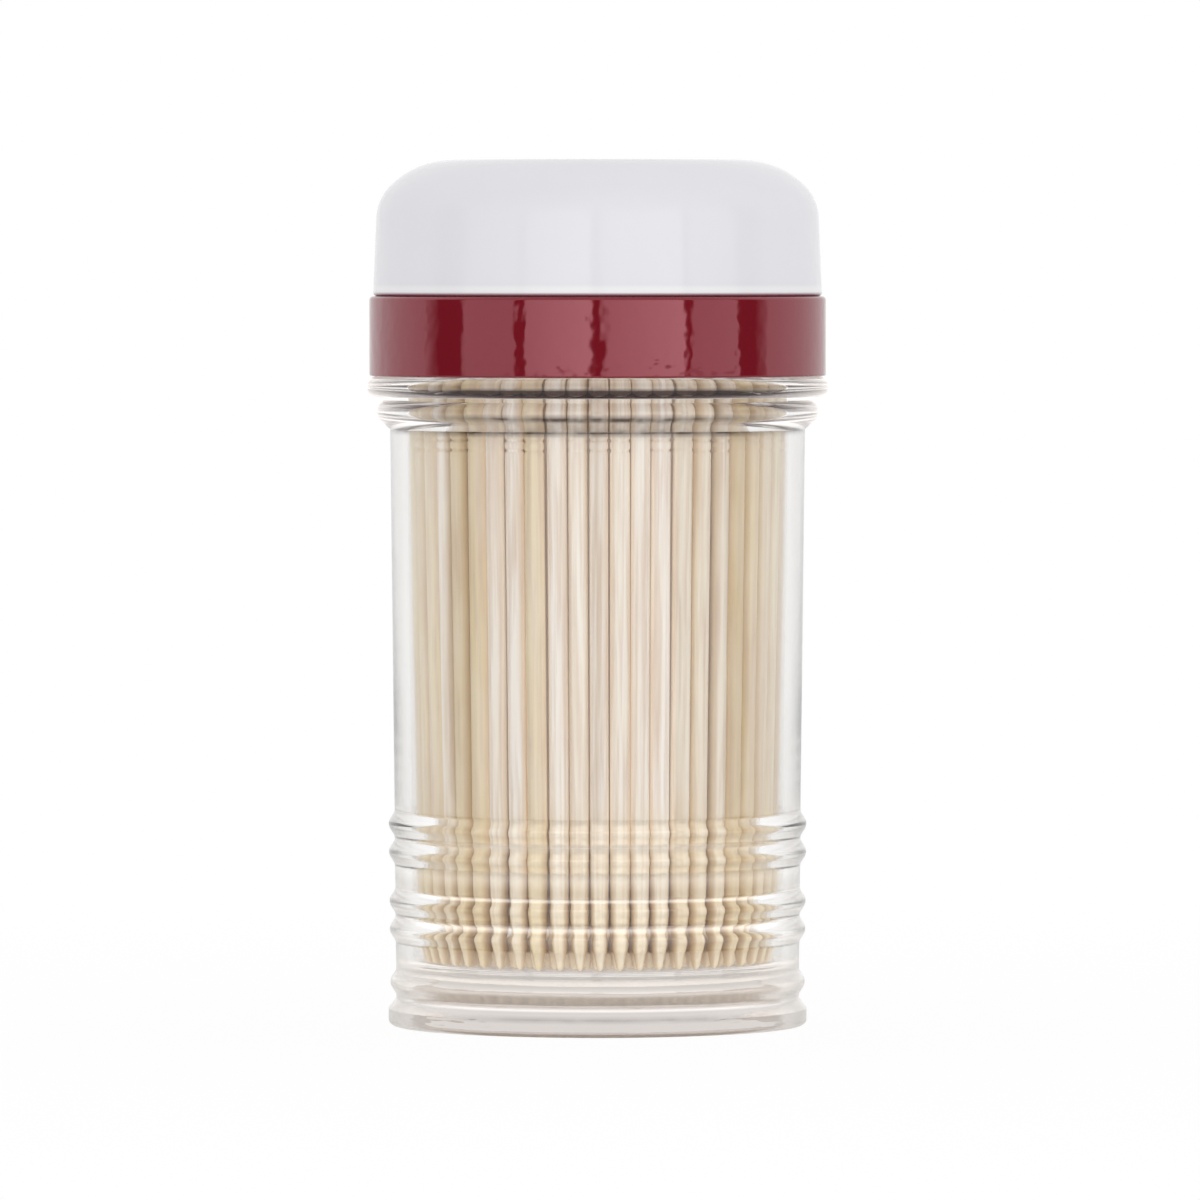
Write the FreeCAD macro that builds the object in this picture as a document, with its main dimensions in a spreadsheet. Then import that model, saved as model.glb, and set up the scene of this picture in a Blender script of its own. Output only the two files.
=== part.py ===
"""Shake-out toothpick dispenser: a ribbed clear jar, a push-on dispensing collar and a push-on overcap.

Millimetres, +Z up. The origin is the centre of the jar's foot, on the surface that it stands on.
All mouldings are turned shapes about Z; the toothpicks stand on their points in rings inside the jar.
"""

import FreeCAD, Part

import math
import os
import random
import Sketcher

SIZES = [
    # alias, millimetres unless degrees are named, what it is
    ("body_radius", 23.98, "outside of the jar wall, just under the grip bead"),
    ("body_draft", 0.68, "how much narrower the wall is at the foot"),
    ("jar_wall", 1.8, "thickness of the jar wall"),
    ("floor_height", 6.8, "height of the floor that the toothpicks stand on"),
    ("floor_thickness", 1.5, "thickness of that floor, hollow below"),
    ("floor_round", 1.2, "round between the floor and the wall, inside"),
    ("foot_proud", 0.9, "how far the foot ring stands out of the wall"),
    ("foot_height", 3.1, "height of the foot ring with its slope"),
    ("foot_slope", 1.2, "height of the slope that ends the foot ring"),
    ("foot_round", 0.7, "round at the lower edge of the foot ring"),
    ("rib_width", 3.2, "height of one rib"),
    ("rib_proud", 0.68, "how far a rib stands out of the wall"),
    ("rib_root_round", 0.685, "round where a rib runs out into the wall"),
    ("rib_slope", 32, "slope between that round and the rib's crest, in degrees"),
    ("rib_gap", 0.05, "plain wall between the two ribs of a pair"),
    ("first_gap", 0.3, "plain wall between the foot ring and the single rib"),
    ("lower_band", 2.9, "plain wall between the single rib and the lower pair"),
    ("upper_band", 2.5, "plain wall between the two pairs"),
    ("flange_over_picks", 0.3, "flange top above the toothpicks, if these stood on the floor itself"),
    ("flange_thickness", 2.4, "thickness of the flange that the collar sits on"),
    ("flange_proud", 2.65, "how far the flange stands out of the neck"),
    ("flange_rim", 1.0, "depth of the flange's rounded rim"),
    ("throat_width", 0.5, "height of the groove under the flange"),
    ("throat_proud", 0.95, "how far that groove stays outside the wall"),
    ("grip_width", 2.4, "height of the round of the grip bead under it"),
    ("grip_depth", 0.66, "how far that bead stands out of the groove"),
    ("grip_slope", 0.9, "height of the slope from the bead to the wall"),
    ("neck_proud", 0.12, "neck inside the collar, wider than the wall by this"),
    ("neck_height", 7.6, "neck above the flange"),
    ("neck_ring_height", 4.6, "centre of the neck's hold ring above the flange"),
    ("neck_ring_width", 1.4, "height of that ring"),
    ("neck_ring_depth", 0.35, "how far it stands out of the neck"),
    ("mouth_bevel", 0.4, "bevel at the jar's mouth"),
    ("skirt_clearance", 0.3, "radial clearance of collar and hold ring"),
    ("skirt_wall", 1.65, "thickness of the collar's coloured band"),
    ("mouth_clearance", 0.3, "jar's mouth to the collar's shoulder"),
    ("shoulder_thickness", 1.3, "thickness of that shoulder"),
    ("band_round", 0.45, "round at the band's upper edge"),
    ("band_edge", 0.2, "round at the band's lower edge"),
    ("ledge_width", 2.15, "ledge round the spigot, where the overcap sits"),
    ("spigot_height", 4.6, "spigot above the band"),
    ("spigot_wall", 1.4, "thickness of the spigot"),
    ("spigot_bevel", 0.5, "lead-in bevel on the spigot"),
    ("spigot_ring_depth", 0.1, "hold ring on the spigot"),
    ("spigot_ring_width", 1.2, "height of that ring"),
    ("plate_thickness", 1.5, "thickness of the dispensing plate"),
    ("plate_rise", 3.2, "how far the plate rises to its hole, as a funnel"),
    ("hole_clearance", 0.5, "radial clearance of a toothpick in the dispensing hole"),
    ("nozzle_wall", 2.0, "rim round the hole"),
    ("nozzle_height", 1.1, "how far that rim stands above the plate"),
    ("nozzle_round", 0.5, "round on that rim"),
    ("cap_clearance", 0.3, "radial clearance of overcap and spigot"),
    ("cap_foot_wall", 1.4, "thickness of the overcap at its foot"),
    ("cap_wall", 1.5, "thickness of the overcap above the spigot"),
    ("cap_draft", 0.35, "how much narrower the overcap is where its corner begins"),
    ("cap_foot_round", 0.4, "round at the overcap's lower edge"),
    ("cap_headroom", 5.3, "hole's rim to the overcap, inside"),
    ("corner_rise", 6.9, "height of the overcap's rounded corner"),
    ("corner_reach", 8.7, "width of that corner"),
    ("corner_flatness", 1.3, "how much lower the corner's side round is than the corner"),
    ("pick_length", 68.0, "length of a toothpick"),
    ("pick_radius", 1.1, "half its thickness"),
    ("pick_tip", 0.2, "half its thickness at the point"),
    ("pick_taper", 5.0, "length of its point"),
    ("pick_bevel", 0.45, "bevel on its blunt end"),
    ("ring_depth", 0.3, "depth of its turned rings"),
    ("ring_width", 0.6, "width of one turned ring"),
    ("ring_first", 5.9, "blunt end to the first turned ring"),
    ("ring_pitch", 1.15, "distance between turned rings"),
    ("pick_gap", 0.03, "gap between toothpicks that stand together"),
    ("pick_slack", 0.035, "mean spare room beside each toothpick"),
    ("pick_seat", 0.05, "least gap between a toothpick's point and the floor"),
    ("pick_unevenness", 0.25, "how much more that gap is at most"),
    ("bundle_clearance", 0.15, "gap between the toothpicks' blunt ends and the jar wall"),
    ("bundle_flare", 1.2, "how much wider the bundle is at its blunt ends than at its points"),
]
PICK_RING_COUNT = 3  # turned rings on a toothpick
FEWEST_TOGETHER = 2  # fewest and most toothpicks that lean as one
MOST_TOGETHER = 6
PICK_SEED = 7

doc = FreeCAD.newDocument("toothpick_dispenser")
sheet = doc.addObject("Spreadsheet::Sheet", "sizes")
for row, (alias, millimetres, note) in enumerate(SIZES, start=1):
    sheet.set(f"A{row}", note)
    sheet.set(f"B{row}", str(millimetres))
    sheet.setAlias(f"B{row}", alias)
doc.recompute()


class Size:
    """A length with its present value and the sheet formula that gives it."""

    def __init__(self, value, formula=None):
        self.value = float(value)
        self.formula = formula or repr(float(value))

    @staticmethod
    def of(other):
        return other if isinstance(other, Size) else Size(other)

    def combine(self, other, sign, value):
        return Size(value, f"({self.formula} {sign} {Size.of(other).formula})")

    def __add__(self, other):
        return self.combine(other, "+", self.value + Size.of(other).value)

    def __sub__(self, other):
        return self.combine(other, "-", self.value - Size.of(other).value)

    def __mul__(self, other):
        return self.combine(other, "*", self.value * Size.of(other).value)

    def __truediv__(self, other):
        return self.combine(other, "/", self.value / Size.of(other).value)


def size(alias):
    return Size(sheet.get(alias), f"sizes.{alias}")


class Outline:
    """A closed half-section in a body's XZ plane, drawn corner by corner as (radius, height)."""

    def __init__(self, body, name):
        self.body = body
        self.sketch = body.newObject("Sketcher::SketchObject", name)
        plane = next(f for f in body.Origin.OriginFeatures if f.Role == "XZ_Plane")
        self.sketch.AttachmentSupport = [(plane, "")]
        self.sketch.MapMode = "FlatFace"
        self.corners = []

    def to(self, radius, height, arc=None, hollow=False):
        """Adds a corner. With arc, the edge that leads to it is an arc of that radius."""
        self.corners.append((Size.of(radius), Size.of(height), arc, hollow))
        return self

    def edge(self, start, end, arc, hollow):
        """(geometry, which of its ends is the start) for one edge of the outline."""
        if arc is None:
            return Part.LineSegment(start, end), 1
        chord = end - start
        rise = math.sqrt(max(arc.value**2 - (chord.Length / 2) ** 2, 0.0))
        side = FreeCAD.Vector(-chord.y, chord.x, 0).normalize()
        centre = (start + end) * 0.5 + side * (-rise if hollow else rise)
        angles = [math.atan2(p.y - centre.y, p.x - centre.x) for p in (start, end)]
        circle = Part.Circle(centre, FreeCAD.Vector(0, 0, 1), arc.value)
        if hollow:
            return Part.ArcOfCircle(circle, angles[1], angles[0]), 2
        return Part.ArcOfCircle(circle, angles[0], angles[1]), 1

    def bind(self, kind, edge, end, length):
        """Holds one coordinate of a corner to its sheet formula."""
        if length.value == 0:
            axis = -2 if kind == "DistanceX" else -1
            self.sketch.addConstraint(Sketcher.Constraint("PointOnObject", edge, end, axis))
            return
        at = self.sketch.addConstraint(Sketcher.Constraint(kind, -1, 1, edge, end, length.value))
        self.sketch.setExpression(f"Constraints[{at}]", length.formula)

    def close(self):
        """Draws the edges, joins them and binds every corner and arc to the sheet."""
        points = [FreeCAD.Vector(radius.value, height.value, 0) for radius, height, _, _ in self.corners]
        ends = []
        for i, (_, _, arc, hollow) in enumerate(self.corners):
            geometry, first = self.edge(points[i - 1], points[i], arc, hollow)
            self.sketch.addGeometry(geometry, False)
            ends.append((first, 3 - first))
        for i, (radius, height, arc, _) in enumerate(self.corners):
            following = (i + 1) % len(self.corners)
            join = Sketcher.Constraint("Coincident", i, ends[i][1], following, ends[following][0])
            self.sketch.addConstraint(join)
            self.bind("DistanceX", i, ends[i][1], radius)
            self.bind("DistanceY", i, ends[i][1], height)
            if arc is not None:
                at = self.sketch.addConstraint(Sketcher.Constraint("Radius", i, arc.value))
                self.sketch.setExpression(f"Constraints[{at}]", arc.formula)
        return self.sketch

    def revolve(self):
        """Turns the closed outline about Z, as the body's one solid."""
        turned = self.body.newObject("PartDesign::Revolution", self.body.Label + "_turned")
        sketch = self.close()
        turned.Profile = sketch
        turned.ReferenceAxis = (sketch, ["V_Axis"])
        turned.Angle = 360
        return self.body


def new_outline(label):
    """A body of that name with an empty outline."""
    body = doc.addObject("PartDesign::Body", label)
    body.Label = label
    return Outline(body, label + "_section")


def bulge(width, depth):
    """Radius of the arc that rises by depth over a width."""
    return (width * width / 4 + depth * depth) / (depth * 2)


# ---- sizes that more than one piece takes part in ----
floor_height = size("floor_height")
pick_length = size("pick_length")
pick_radius = size("pick_radius")
body_radius = size("body_radius")
bore_radius = body_radius - size("jar_wall")
foot_wall_radius = body_radius - size("body_draft")
bore_radius_floor = bore_radius - size("body_draft")
flange_top = floor_height + pick_length + size("flange_over_picks")
mouth_height = flange_top + size("neck_height")
neck_radius = body_radius + size("neck_proud")
neck_ring_radius = neck_radius + size("neck_ring_depth")
skirt_inside = neck_ring_radius + size("skirt_clearance")
band_radius = skirt_inside + size("skirt_wall")
band_top = mouth_height + size("mouth_clearance") + size("shoulder_thickness")
spigot_radius = band_radius - size("ledge_width")
spigot_top = band_top + size("spigot_height")
plate_apex = spigot_top + size("plate_rise")
nozzle_top = plate_apex + size("nozzle_height")
cap_inside = spigot_radius + size("cap_clearance")
cap_foot_radius = cap_inside + size("cap_foot_wall")
cap_top = nozzle_top + size("cap_headroom") + size("cap_wall")


def wave(outline, radius, bottom):
    """One rib: a round crest on straight slopes, with a round at each root."""
    half = size("rib_width") / 2
    proud = size("rib_proud")
    root = size("rib_root_round")
    slope = size("rib_slope")
    sine = Size(math.sin(math.radians(slope.value)), f"sin({slope.formula} * 1 deg)")
    cosine = Size(math.cos(math.radians(slope.value)), f"cos({slope.formula} * 1 deg)")
    crest = (half * sine - proud * cosine) / (Size(1) - cosine) - root
    root_across = root - root * cosine
    crest_across = proud - crest + crest * cosine
    root_up = root * sine
    crest_up = half - crest * sine
    top = bottom + size("rib_width")
    outline.to(radius, bottom)
    outline.to(radius + root_across, bottom + root_up, arc=root, hollow=True)
    outline.to(radius + crest_across, bottom + crest_up)
    outline.to(radius + crest_across, top - crest_up, arc=crest)
    outline.to(radius + root_across, top - root_up)
    outline.to(radius, top, arc=root, hollow=True)
    return top


def make_jar():
    """Clear moulding: foot ring, five ribs, drafted wall, grip bead, flange and neck."""
    foot_radius = foot_wall_radius + size("foot_proud")
    foot_height = size("foot_height")
    foot_round = size("foot_round")
    flange_under = flange_top - size("flange_thickness")
    throat_radius = body_radius + size("throat_proud")
    throat_bottom = flange_under - size("throat_width")
    grip_bottom = throat_bottom - size("grip_width")
    body_top = grip_bottom - size("grip_slope")
    rim_radius = neck_radius + size("flange_proud") - size("flange_rim")
    bevel = size("mouth_bevel")
    floor_round = size("floor_round")
    floor_under = floor_height - size("floor_thickness")

    def wall_radius(height):
        return foot_wall_radius + (height - foot_height) * size("body_draft") / (body_top - foot_height)

    outline = new_outline("jar")
    outline.to(0, floor_under).to(bore_radius_floor, floor_under).to(bore_radius_floor, 0)
    outline.to(foot_radius - foot_round, 0).to(foot_radius, foot_round, arc=foot_round)
    outline.to(foot_radius, foot_height - size("foot_slope")).to(foot_wall_radius, foot_height)
    height = foot_height
    for gap in ("first_gap", "lower_band", "rib_gap", "upper_band", "rib_gap"):
        height = height + size(gap)
        height = wave(outline, wall_radius(height), height)
    outline.to(body_radius, body_top).to(throat_radius, grip_bottom)
    outline.to(throat_radius, throat_bottom, arc=bulge(size("grip_width"), size("grip_depth")))
    outline.to(throat_radius, flange_under).to(rim_radius, flange_under)
    outline.to(rim_radius, flange_top, arc=bulge(size("flange_thickness"), size("flange_rim")))
    outline.to(neck_radius, flange_top)
    ring_height = flange_top + size("neck_ring_height")
    half_ring = size("neck_ring_width") / 2
    outline.to(neck_radius, ring_height - half_ring)
    ring_arc = bulge(size("neck_ring_width"), size("neck_ring_depth"))
    outline.to(neck_radius, ring_height + half_ring, arc=ring_arc)
    outline.to(neck_radius, mouth_height - bevel).to(neck_radius - bevel, mouth_height)
    outline.to(bore_radius, mouth_height).to(bore_radius_floor, floor_height + floor_round)
    outline.to(bore_radius_floor - floor_round, floor_height, arc=floor_round, hollow=True)
    outline.to(0, floor_height)
    return outline.revolve()


def make_collar():
    """Coloured moulding: band over the neck, spigot for the overcap, funnel plate with its hole."""
    edge = size("band_edge")
    band_round = size("band_round")
    bevel = size("spigot_bevel")
    spigot_inside = spigot_radius - size("spigot_wall")
    hole_radius = pick_radius + size("hole_clearance")
    nozzle_radius = hole_radius + size("nozzle_wall")
    nozzle_round = size("nozzle_round")
    ring_middle = (band_top + spigot_top) / 2
    half_ring = size("spigot_ring_width") / 2
    plate = size("plate_thickness")
    shoulder_under = band_top - size("shoulder_thickness")

    outline = new_outline("dispensing_collar")
    outline.to(skirt_inside, flange_top).to(band_radius - edge, flange_top)
    outline.to(band_radius, flange_top + edge, arc=edge)
    outline.to(band_radius, band_top - band_round)
    outline.to(band_radius - band_round, band_top, arc=band_round)
    outline.to(spigot_radius, band_top).to(spigot_radius, ring_middle - half_ring)
    ring_arc = bulge(size("spigot_ring_width"), size("spigot_ring_depth"))
    outline.to(spigot_radius, ring_middle + half_ring, arc=ring_arc)
    outline.to(spigot_radius, spigot_top - bevel).to(spigot_radius - bevel, spigot_top)
    outline.to(nozzle_radius, plate_apex).to(nozzle_radius, nozzle_top - nozzle_round)
    outline.to(nozzle_radius - nozzle_round, nozzle_top, arc=nozzle_round)
    outline.to(hole_radius, nozzle_top).to(hole_radius, plate_apex - plate)
    outline.to(spigot_inside, spigot_top - plate).to(spigot_inside, shoulder_under)
    outline.to(skirt_inside, shoulder_under)
    return outline.revolve()


def make_overcap():
    """White moulding that is pushed over the spigot and sits on the ledge round it."""
    wall = size("cap_wall")
    foot_round = size("cap_foot_round")
    side_radius = cap_foot_radius - size("cap_draft")
    corner_bottom = cap_top - size("corner_rise")
    flat_radius = side_radius - size("corner_reach")
    # The corner is two arcs that share a tangent: the side one is tighter, the crown one wider.
    flatness = size("corner_flatness")
    side_arc = size("corner_rise") - flatness
    spare = size("corner_reach") - side_arc
    crown_arc = (spare * spare + size("corner_rise") * size("corner_rise") - side_arc * side_arc) / (
        flatness * 2
    )
    share_across = spare / (crown_arc - side_arc)
    share_up = (crown_arc - size("corner_rise")) / (crown_arc - side_arc)

    def tangent_point(inset):
        arc = side_arc - inset
        return side_radius - side_arc + arc * share_across, corner_bottom + arc * share_up

    outline = new_outline("overcap")
    outline.to(cap_inside, band_top).to(cap_foot_radius - foot_round, band_top)
    outline.to(cap_foot_radius, band_top + foot_round, arc=foot_round)
    outline.to(side_radius, corner_bottom)
    outline.to(*tangent_point(0), arc=side_arc)
    outline.to(flat_radius, cap_top, arc=crown_arc)
    outline.to(0, cap_top).to(0, cap_top - wall).to(flat_radius, cap_top - wall)
    outline.to(*tangent_point(wall), arc=crown_arc - wall, hollow=True)
    outline.to(side_radius - wall, corner_bottom, arc=side_arc - wall, hollow=True)
    outline.to(cap_inside, spigot_top)
    return outline.revolve()


def make_toothpick():
    """Turned birch stick, pointed below, with turned rings near its blunt end."""
    ring_depth = size("ring_depth")
    half_ring = size("ring_width") / 2
    bevel = size("pick_bevel")
    outline = new_outline("toothpick_pattern")
    outline.to(0, 0).to(size("pick_tip"), 0).to(pick_radius, size("pick_taper"))
    for number in reversed(range(PICK_RING_COUNT)):
        ring_height = pick_length - size("ring_first") - size("ring_pitch") * number
        outline.to(pick_radius, ring_height - half_ring)
        outline.to(pick_radius - ring_depth, ring_height)
        outline.to(pick_radius, ring_height + half_ring)
    outline.to(pick_radius, pick_length - bevel).to(pick_radius - bevel, pick_length)
    outline.to(0, pick_length)
    return outline.revolve()


def polar(radius, angle, height):
    return FreeCAD.Vector(radius * math.cos(angle), radius * math.sin(angle), height)


def ring_of_placements(radius, flare, chance):
    """Placements of one ring of toothpicks: close runs, each with a sideways lean of its own.

    radius is the ring's radius at the points, and at the blunt ends it is flare times that.
    """
    pitch = 2 * pick_radius.value + size("pick_gap").value
    full_width_radius = radius * (1 + (flare - 1) * size("pick_taper").value / pick_length.value)
    if full_width_radius < pitch:
        return []
    step = 2 * math.asin(pitch / (2 * full_width_radius))
    count = int(2 * math.pi / (step * (1 + size("pick_slack").value / pitch)))
    runs = []
    while sum(runs) < count:
        together = chance.randint(FEWEST_TOGETHER, MOST_TOGETHER)
        runs.append(min(together, count - sum(runs)))
    spare = (2 * math.pi - count * step) / len(runs)
    angle = chance.uniform(0, 2 * math.pi)
    placements = []
    for run in runs:
        lean = chance.uniform(-0.45, 0.45) * spare
        for _ in range(run):
            base = floor_height.value + size("pick_seat").value
            base += chance.uniform(0, size("pick_unevenness").value)
            bottom = polar(radius, angle - lean, base)
            top = polar(radius * flare, angle + lean, base + pick_length.value)
            turn = FreeCAD.Rotation(FreeCAD.Vector(0, 0, 1), top - bottom)
            placements.append(FreeCAD.Placement(bottom, turn))
            angle += step
        angle += spare
    return placements


def all_rings():
    """Placements of every ring of toothpicks, from the jar's wall inwards."""
    chance = random.Random(PICK_SEED)
    draft_slope = size("body_draft").value / (mouth_height.value - floor_height.value)
    bore_at_ends = bore_radius_floor.value + draft_slope * pick_length.value
    outermost = bore_at_ends - size("bundle_clearance").value - pick_radius.value
    radius = outermost - size("bundle_flare").value
    flare = outermost / radius
    rings = []
    while radius > 2 * pick_radius.value:
        rings.append(ring_of_placements(radius, flare, chance))
        radius -= 2 * pick_radius.value + size("pick_gap").value
    return rings


def make_pick_node(label, pattern, placements):
    """One named object that holds the toothpicks at these placements as separate solids."""
    node = doc.addObject("Part::Feature", label)
    node.Label = label
    solids = []
    for place in placements:
        solid = pattern.copy()
        solid.Placement = place
        solids.append(solid)
    node.Shape = solids[0] if len(solids) == 1 else Part.makeCompound(solids)
    return node


jar = make_jar()
collar = make_collar()
overcap = make_overcap()
toothpick = make_toothpick()
doc.recompute()

wall_ring, second_ring, *core_rings = all_rings()
nodes = [jar, collar, overcap]
for number, place in enumerate(wall_ring, start=1):
    nodes.append(make_pick_node(f"toothpick_{number:02d}", toothpick.Shape, [place]))
nodes.append(make_pick_node("toothpicks_second_ring", toothpick.Shape, second_ring))
nodes.append(make_pick_node("toothpicks_core", toothpick.Shape, sum(core_rings, [])))

doc.recompute()
for thing in doc.Objects:
    if {"Invalid", "Error"} & set(thing.State):
        raise RuntimeError(f"{thing.Label} is in state {thing.State}")
for node in nodes:
    if node.Shape.isNull() or not node.Shape.isValid():
        raise RuntimeError(f"{node.Label} has no valid shape")
os.makedirs("parts", exist_ok=True)
for node in nodes:
    node.Shape.exportStep(f"parts/{node.Label}.step")
    print(f"{node.Label}: {node.Shape.Volume:.1f} mm3, {len(node.Shape.Solids)} solids")
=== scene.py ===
"""Looks of a shake-out toothpick dispenser: clear ribbed jar, toothpicks, dispensing collar and overcap."""

import math
import random

import bpy
import numpy as np
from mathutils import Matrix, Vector


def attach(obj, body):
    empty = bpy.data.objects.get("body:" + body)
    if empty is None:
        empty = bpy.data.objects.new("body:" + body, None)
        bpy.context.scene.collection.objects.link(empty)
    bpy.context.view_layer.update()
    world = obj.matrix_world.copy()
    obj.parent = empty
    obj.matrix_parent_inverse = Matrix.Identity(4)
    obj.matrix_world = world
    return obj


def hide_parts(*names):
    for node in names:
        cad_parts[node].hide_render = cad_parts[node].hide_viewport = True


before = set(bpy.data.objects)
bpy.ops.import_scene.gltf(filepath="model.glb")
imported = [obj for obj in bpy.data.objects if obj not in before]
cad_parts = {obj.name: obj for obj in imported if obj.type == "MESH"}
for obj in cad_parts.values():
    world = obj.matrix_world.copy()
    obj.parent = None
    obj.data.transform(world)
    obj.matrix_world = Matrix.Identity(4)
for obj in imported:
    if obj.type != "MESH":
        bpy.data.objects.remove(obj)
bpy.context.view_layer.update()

# ======== The jar ========
# One clear polystyrene moulding, round about the upright axis: a foot ring, five round ribs, a drafted
# wall, a grip bead and the flange that the collar sits on. Its plain neck stands inside the collar.

MM = 0.001
SIDES = 256  # flat sides that stand for a round moulding
ROUND_STEP = math.radians(6)  # most that a rounded edge turns from one of its points to the next
FEWEST_ROUND_STEPS = 3
SHARP_EDGE = math.radians(28)

# Sizes are in millimetres, and heights are measured from the table.
FLOOR_HEIGHT = 6.8  # the floor that the toothpicks stand on
FLOOR_UNDER = 5.3
FLOOR_ROUND = 1.2
BORE_RADIUS_FLOOR = 21.5
BORE_RADIUS_MOUTH = 22.18
FOOT_RADIUS = 24.2
FOOT_ROUND = 0.7
FOOT_RING_TOP = 1.9
FOOT_WALL_RADIUS = 23.3
FOOT_WALL_HEIGHT = 3.1
BODY_RADIUS = 23.98
BODY_TOP = 68.9
RIB_WIDTH = 3.2
RIB_PROUD = 0.68
RIB_CREST_ROUND = 1.1
RIB_ROOT_ROUND = 0.685
RIB_SLOPE = math.radians(32)
RIB_GAPS = (0.3, 2.9, 0.05, 2.5, 0.05)  # plain wall under each rib, from the foot ring up
GRIP_BOTTOM = 69.8
GRIP_PROUD = 0.66
THROAT_RADIUS = 24.93
THROAT_BOTTOM = 72.2
FLANGE_UNDER = 72.7
FLANGE_TOP = 75.1
FLANGE_RIM_RADIUS = 25.75
FLANGE_PROUD = 1.0
NECK_RADIUS = 24.1
NECK_RING_HEIGHTS = (79.0, 80.4)
NECK_RING_PROUD = 0.35
MOUTH_HEIGHT = 82.7
MOUTH_BEVEL = 0.4


def bulge(bottom, top, proud):
    """Radius of a round band between two heights that stands out by that much."""
    width = top - bottom
    return (width * width / 4 + proud * proud) / (2 * proud)


def rounded(corners):
    """Points of a closed half-section. A corner is (radius, height) and, if a round edge leads to it, the
    radius of that edge, below 0 where it is hollow."""
    points = []
    before = corners[-1]
    for corner in corners:
        if len(corner) == 3:
            start = Vector(before[:2])
            chord = Vector(corner[:2]) - start
            arc = corner[2]
            half_turn = math.asin(min(chord.length / 2 / abs(arc), 1))
            left = Vector((-chord.y, chord.x)).normalized()
            centre = start + chord / 2 + left * arc * math.cos(half_turn)
            first = math.atan2(start.y - centre.y, start.x - centre.x)
            steps = max(FEWEST_ROUND_STEPS, math.ceil(2 * half_turn / ROUND_STEP))
            for step in range(1, steps):
                angle = first + math.copysign(2 * half_turn * step / steps, arc)
                points.append((centre.x + abs(arc) * math.cos(angle), centre.y + abs(arc) * math.sin(angle)))
        points.append(corner[:2])
        before = corner
    return points


def smoothed(mesh):
    """Rounds a mesh's shading, except over its sharp edges."""
    mesh.polygons.foreach_set("use_smooth", [True] * len(mesh.polygons))
    mesh.set_sharp_from_angle(angle=SHARP_EDGE)
    return mesh


def turned(name, points):
    """A piece whose half-section, in millimetres, is turned about the upright axis."""
    vertices = []
    rings = []
    for radius, height in points:
        first = len(vertices)
        if radius == 0:
            vertices.append((0, 0, height * MM))
            rings.append([first] * SIDES)
            continue
        for side in range(SIDES):
            angle = 2 * math.pi * side / SIDES
            vertices.append((radius * MM * math.cos(angle), radius * MM * math.sin(angle), height * MM))
        rings.append(range(first, first + SIDES))
    faces = []
    for ring, following in zip(rings, rings[1:] + rings[:1]):
        if ring[0] == ring[1] and following[0] == following[1]:  # both on the axis
            continue
        for side in range(SIDES):
            after = (side + 1) % SIDES
            around = (ring[side], ring[after], following[after], following[side])
            faces.append(tuple(dict.fromkeys(around)))
    mesh = bpy.data.meshes.new(name)
    mesh.from_pydata(vertices, [], faces)
    piece = bpy.data.objects.new(name, smoothed(mesh))
    bpy.context.scene.collection.objects.link(piece)
    return piece


def wall_radius(height):
    """Outside radius of the plain wall at a height."""
    slope = (BODY_RADIUS - FOOT_WALL_RADIUS) / (BODY_TOP - FOOT_WALL_HEIGHT)
    return FOOT_WALL_RADIUS + (height - FOOT_WALL_HEIGHT) * slope


def rib(bottom):
    """Corners of one rib: a round crest on straight slopes, with a hollow round at each root."""
    radius = wall_radius(bottom)
    top = bottom + RIB_WIDTH
    root_out = RIB_ROOT_ROUND * (1 - math.cos(RIB_SLOPE))
    root_up = RIB_ROOT_ROUND * math.sin(RIB_SLOPE)
    crest_out = RIB_PROUD - RIB_CREST_ROUND * (1 - math.cos(RIB_SLOPE))
    crest_up = RIB_WIDTH / 2 - RIB_CREST_ROUND * math.sin(RIB_SLOPE)
    return [
        (radius, bottom),
        (radius + root_out, bottom + root_up, -RIB_ROOT_ROUND),
        (radius + crest_out, bottom + crest_up),
        (radius + crest_out, top - crest_up, RIB_CREST_ROUND),
        (radius + root_out, top - root_up),
        (radius, top, -RIB_ROOT_ROUND),
    ]


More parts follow.
